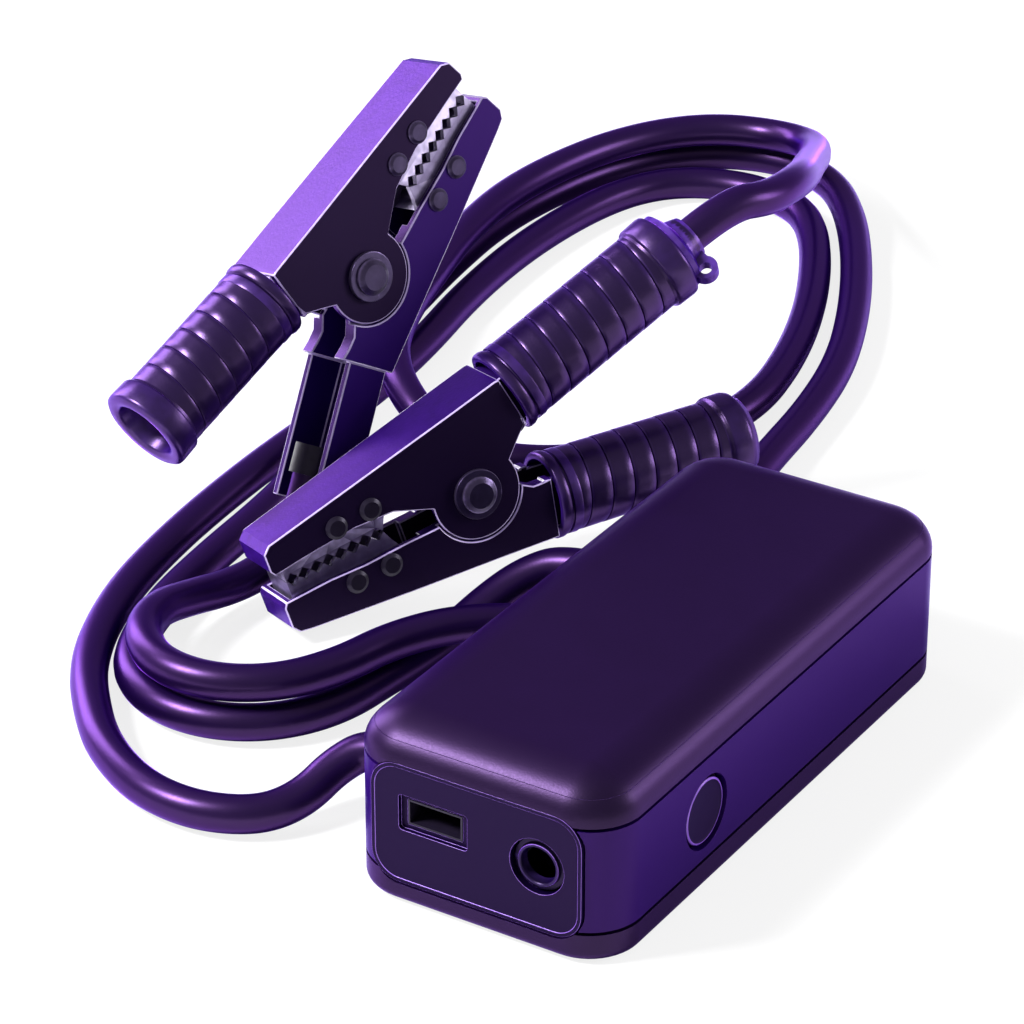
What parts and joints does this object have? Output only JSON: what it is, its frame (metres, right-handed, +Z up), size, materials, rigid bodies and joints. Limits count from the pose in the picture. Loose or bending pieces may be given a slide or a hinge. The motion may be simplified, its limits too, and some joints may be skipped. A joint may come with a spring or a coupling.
{
  "type": "jump starter pack",
  "caption": "Portable jump starter: rounded battery pack with a USB socket, a charging socket and a power button, and sprung clamps on long soft leads.",
  "frame": {"origin": "centre of the pack's flat underside, in the plane that it stands on", "axes": "+Z up; -Y out of the ported end with the USB and charging sockets; +X out of the side with the power button; the leads leave on the -X side"},
  "size_m": [0.2099, 0.3657, 0.1088],
  "materials": {
    "shell": "satin near-black violet moulding",
    "band": "satin dark violet moulding",
    "panel": "fine matt moulding",
    "socket_plastic": "matt black moulding",
    "contact_metal": "bright contact metal",
    "bright_steel": "brushed",
    "jaw_metal": "satin plated",
    "rubber": "matt black rubber",
    "grip_rubber": "satin dark violet rubber",
    "lever_plastic": "satin dark moulding",
    "lead_silicone": "satin silicone",
    "board": "coated board",
    "cell_wrap": "soft pouch",
    "spring_steel": "plain wire"
  },
  "bodies": {
    "pack_and_fixed_halves": {"top_cover": "shell", "side_band": "band", "bottom_tray": "shell", "case_screws": "bright_steel", "rubber_feet": "rubber", "front_panel": "panel", "usb_shell": "bright_steel", "usb_tongue": "socket_plastic", "usb_contacts": "contact_metal", "dc_socket_sleeve": "socket_plastic", "dc_socket_pin": "contact_metal", "power_switch": "socket_plastic", "circuit_board": "board", "board_posts": "socket_plastic", "cell_bracket": "socket_plastic", "battery_cell_1": "cell_wrap", "battery_cell_2": "cell_wrap", "battery_cell_3": "cell_wrap", "cell_tabs": "contact_metal", "lead_gland_front": "rubber", "lead_gland_rear": "rubber", "lead_a": "lead_silicone", "lead_b": "lead_silicone", "clamp_a_lower_lever": "lever_plastic", "clamp_a_lower_jaw": "jaw_metal", "clamp_a_lower_jaw_rivets": "bright_steel", "clamp_a_pivot_washers": "lever_plastic", "clamp_a_pivot_rivet": "lever_plastic", "clamp_a_torsion_spring": "spring_steel", "clamp_b_upper_lever": "lever_plastic", "clamp_b_upper_jaw": "jaw_metal", "clamp_b_upper_jaw_rivets": "bright_steel", "clamp_b_pivot_washers": "lever_plastic", "clamp_b_pivot_rivet": "lever_plastic", "clamp_b_torsion_spring": "spring_steel", "clamp_b_upper_grip": "grip_rubber", "clamp_a_lead_crimp": "bright_steel", "clamp_b_lead_cap": "rubber"},
    "clamp_a_grip_half": {"clamp_a_upper_lever": "lever_plastic", "clamp_a_upper_jaw": "jaw_metal", "clamp_a_upper_jaw_rivets": "bright_steel", "clamp_a_upper_grip": "grip_rubber"},
    "clamp_b_lower_half": {"clamp_b_lower_lever": "lever_plastic", "clamp_b_lower_jaw": "jaw_metal", "clamp_b_lower_jaw_rivets": "bright_steel", "clamp_b_lower_grip": "grip_rubber"},
    "power_button": {"power_button": "shell"}
  },
  "joints": [
    {"name": "power_button_press", "type": "slide", "parent": "pack_and_fixed_halves", "child": "power_button", "axis": [-1, 0, 0], "range_m": [0, 0.001], "stiffness_N_per_m": 900, "springref_m": -0.001},
    {"name": "clamp_a_hinge", "type": "hinge", "parent": "pack_and_fixed_halves", "child": "clamp_a_grip_half", "pos_m": [-0.117, 0.0566, 0.066], "axis": [0.9203, -0.3121, 0.2361], "range_deg": [0, 20], "stiffness_Nm_per_rad": 2, "springref_deg": -28.65, "deforming": ["clamp_a_torsion_spring"]},
    {"name": "clamp_b_hinge", "type": "hinge", "parent": "pack_and_fixed_halves", "child": "clamp_b_lower_half", "pos_m": [-0.0814, 0.049, 0.0241], "axis": [0.838, -0.508, 0.199], "range_deg": [0, 20], "stiffness_Nm_per_rad": 2, "springref_deg": -28.65, "deforming": ["clamp_b_torsion_spring"]}
  ]
}
